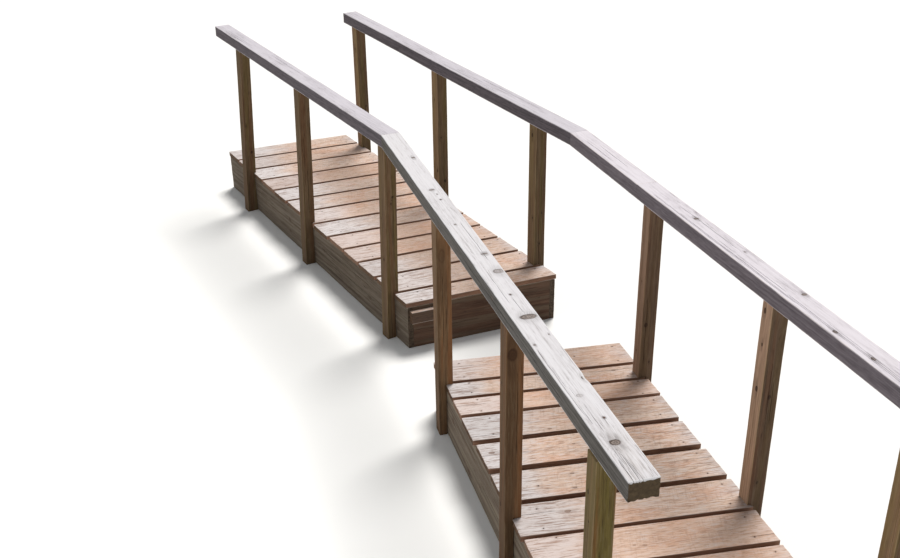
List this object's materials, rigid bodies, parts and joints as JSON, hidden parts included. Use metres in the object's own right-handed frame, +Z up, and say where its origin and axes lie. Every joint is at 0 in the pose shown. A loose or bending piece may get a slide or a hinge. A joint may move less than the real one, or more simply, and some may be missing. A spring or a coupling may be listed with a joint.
{
  "type": "wooden footbridge",
  "caption": "Low timber footbridge in two boarded deck sections that meet at a slight bend, with flat handrails on square posts half-lapped over the deck edges.",
  "frame": {"origin": "on the ground under the middle of the bounding box", "axes": "+Y along the near deck section towards the bend, +X across it to the right, +Z up"},
  "size_m": [2.1952, 7.4004, 1.585],
  "materials": {
    "deck_wood": "weathered sawn boards",
    "rail_wood": "silvered weathered timber",
    "post_wood": "brown weathered timber",
    "frame_wood": "grey-brown rough timber"
  },
  "bodies": {
    "root": {"near_board_01": "deck_wood", "near_board_02": "deck_wood", "near_board_03": "deck_wood", "near_board_04": "deck_wood", "near_board_05": "deck_wood", "near_board_06": "deck_wood", "near_board_07": "deck_wood", "near_board_08": "deck_wood", "near_board_09": "deck_wood", "near_board_10": "deck_wood", "near_board_11": "deck_wood", "near_board_12": "deck_wood", "far_boards": "deck_wood", "near_left_stringer": "frame_wood", "near_right_stringer": "frame_wood", "near_front_header": "frame_wood", "near_back_header": "frame_wood", "near_left_post_1": "post_wood", "near_left_post_2": "post_wood", "near_left_post_3": "post_wood", "near_right_post_1": "post_wood", "near_right_post_2": "post_wood", "near_right_post_3": "post_wood", "far_left_stringer": "frame_wood", "far_right_stringer": "frame_wood", "far_front_header": "frame_wood", "far_back_header": "frame_wood", "far_left_post_1": "post_wood", "far_left_post_2": "post_wood", "far_left_post_3": "post_wood", "far_right_post_1": "post_wood", "far_right_post_2": "post_wood", "far_right_post_3": "post_wood", "step_cleat": "frame_wood", "near_left_rail": "rail_wood", "far_left_rail": "rail_wood", "near_right_rail": "rail_wood", "middle_right_rail": "rail_wood", "far_right_rail_1": "rail_wood", "far_right_rail_2": "rail_wood", "far_right_rail_3": "rail_wood"}
  },
  "joints": []
}
